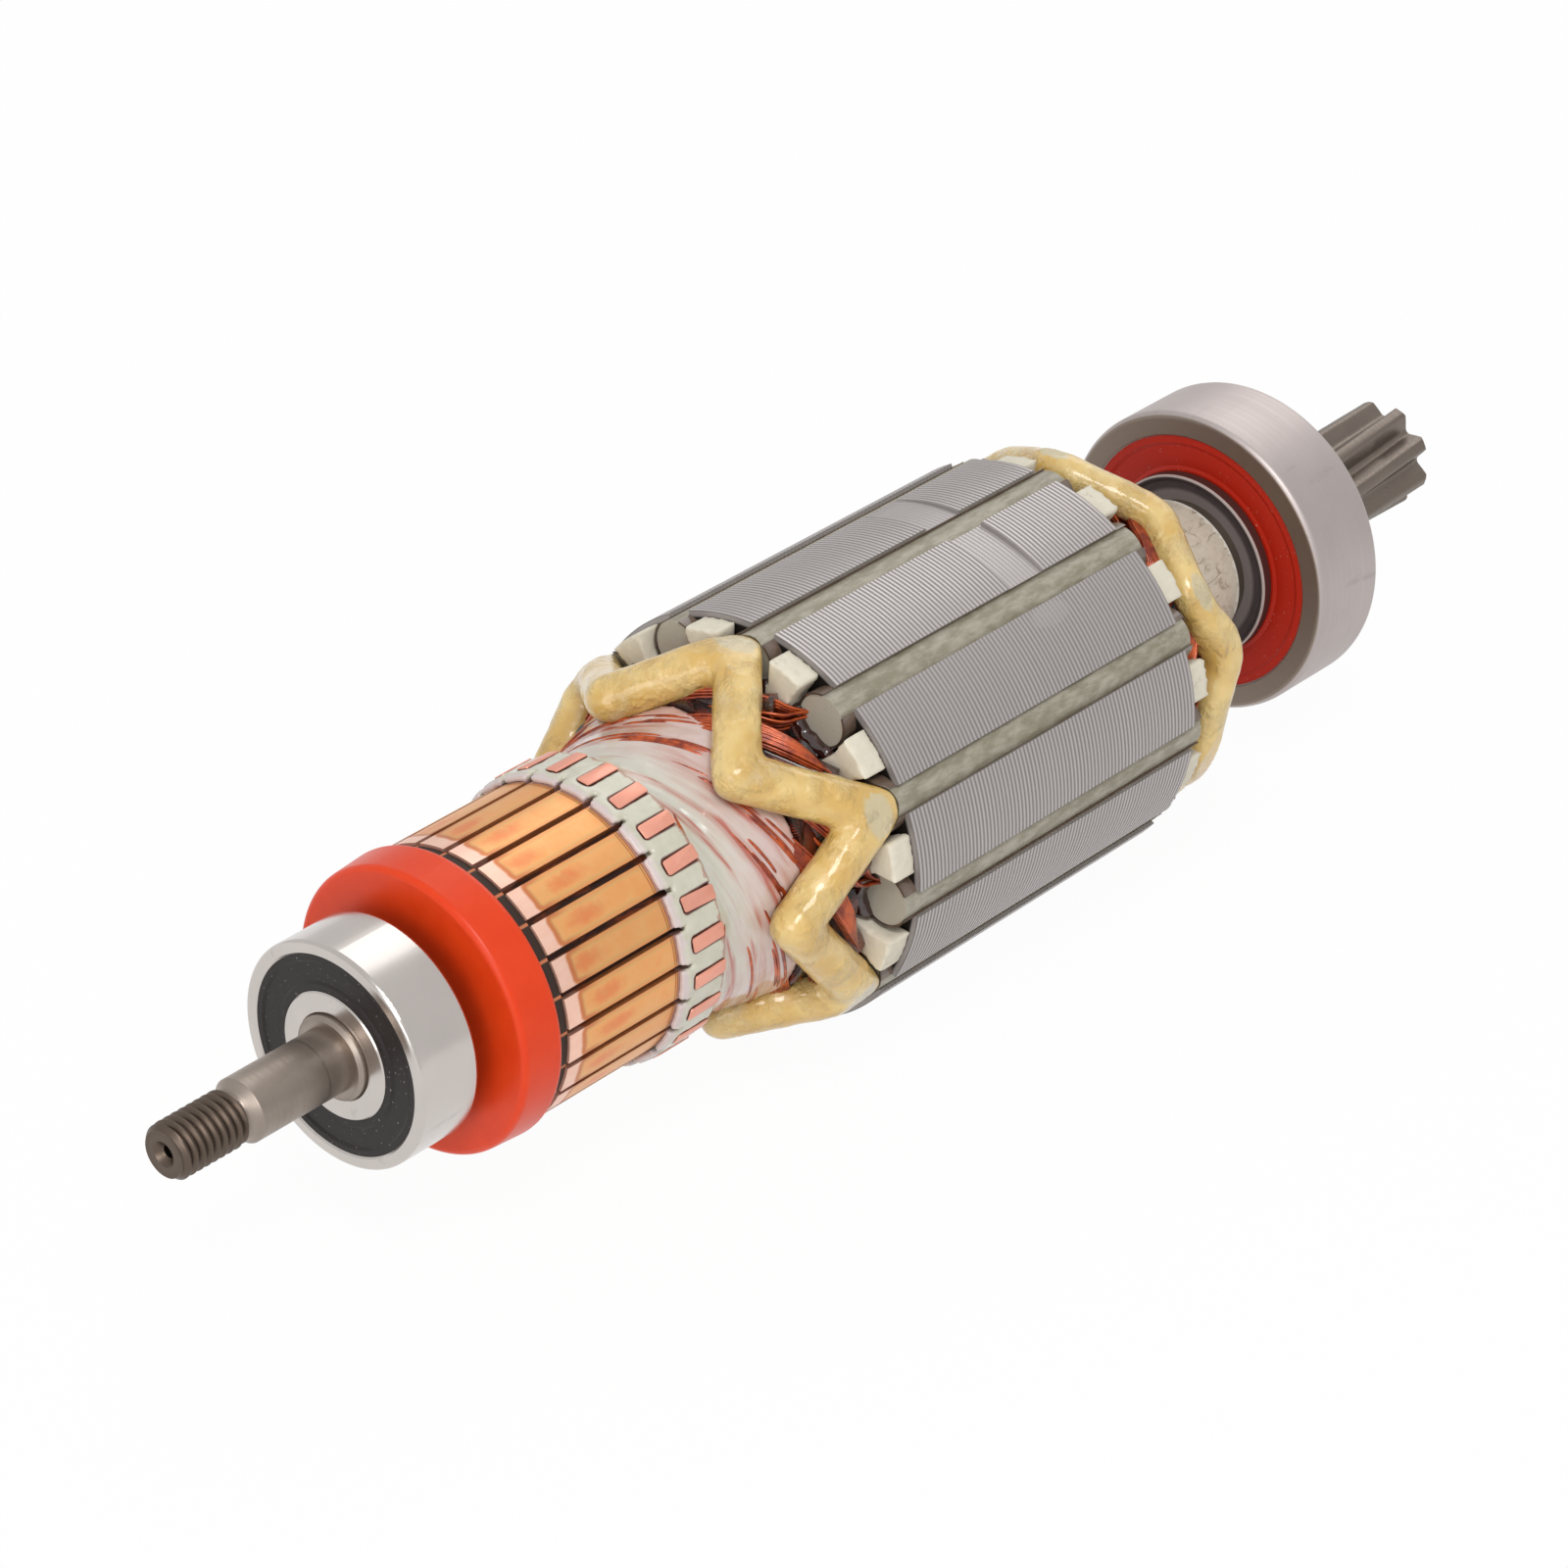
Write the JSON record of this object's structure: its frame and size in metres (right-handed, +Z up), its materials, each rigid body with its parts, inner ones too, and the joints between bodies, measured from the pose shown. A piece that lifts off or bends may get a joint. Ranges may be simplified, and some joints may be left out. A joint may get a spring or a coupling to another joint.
{
  "type": "motor armature",
  "caption": "Wound armature of a universal motor: slotted core, commutator with brush track, helical pinion on the shaft, sealed ball bearings at both ends",
  "frame": {"origin": "on the shaft's axis at the middle of the laminated core", "axes": "+X along the shaft towards the pinion, +Z up, with one slot at the top and one at the bottom"},
  "size_m": [0.2565, 0.0598, 0.0598],
  "materials": {
    "shaft_steel": "ground steel, oiled grey-brown",
    "bearing_steel": "fine ground",
    "ball_steel": "polished",
    "cage_steel": "pressed strip",
    "black_seal": "satin",
    "red_seal": "satin",
    "orange_plastic": "moulded",
    "commutator_copper": "turned copper, heat tinted by the brushes",
    "hub_moulding": "phenolic moulding",
    "pale_resin": "cast resin",
    "milky_resin": "translucent cast resin",
    "winding_copper": "enamelled copper under varnish",
    "core_steel": "ground laminations",
    "white_insulator": "moulded",
    "slot_paper": "pressed insulating paper",
    "wedge_rod": "glass-filled rod under varnish",
    "lacing": "cord stiffened with clear varnish",
    "sleeve_plastic": "mottled moulding",
    "dark_metal": "blackened"
  },
  "bodies": {
    "rotor": {"shaft": "shaft_steel", "shaft_insulation_sleeve": "sleeve_plastic", "insulating_disc": "orange_plastic", "commutator_hub": "hub_moulding", "commutator_bars": "commutator_copper", "riser_resin": "pale_resin", "lead_resin": "milky_resin", "winding_leads": "winding_copper", "core_stack": "core_steel", "front_end_insulator": "white_insulator", "rear_end_insulator": "white_insulator", "slot_liners": "slot_paper", "slot_coils": "winding_copper", "slot_wedges": "wedge_rod", "front_winding_overhang": "winding_copper", "rear_winding_overhang": "winding_copper", "front_lacing_cord": "lacing", "rear_lacing_cord": "lacing", "spacer_ring": "dark_metal", "front_bearing_inner_ring": "bearing_steel", "rear_bearing_inner_ring": "bearing_steel"},
    "front_race": {"front_bearing_outer_ring": "bearing_steel", "front_bearing_front_seal": "black_seal", "front_bearing_rear_seal": "black_seal"},
    "front_cage": {"front_bearing_cage": "cage_steel", "front_bearing_balls": "ball_steel"},
    "rear_race": {"rear_bearing_outer_ring": "bearing_steel", "rear_bearing_front_seal": "red_seal", "rear_bearing_rear_seal": "red_seal"},
    "rear_cage": {"rear_bearing_cage": "cage_steel", "rear_bearing_balls": "ball_steel"}
  },
  "joints": [
    {"name": "front_race_spin", "type": "hinge", "parent": "rotor", "child": "front_race", "pos_m": [-0.1048, 0, 0], "axis": [1, 0, 0], "continuous": true},
    {"name": "front_cage_spin", "type": "hinge", "parent": "rotor", "child": "front_cage", "pos_m": [-0.1048, 0, 0], "axis": [1, 0, 0], "continuous": true},
    {"name": "rear_race_spin", "type": "hinge", "parent": "rotor", "child": "rear_race", "pos_m": [0.0758, 0, 0], "axis": [1, 0, 0], "continuous": true},
    {"name": "rear_cage_spin", "type": "hinge", "parent": "rotor", "child": "rear_cage", "pos_m": [0.0758, 0, 0], "axis": [1, 0, 0], "continuous": true}
  ],
  "couplings": [
    {"joint": "front_cage_spin", "follows": "front_race_spin", "ratio": 0.6352},
    {"joint": "rear_cage_spin", "follows": "rear_race_spin", "ratio": 0.6364}
  ]
}
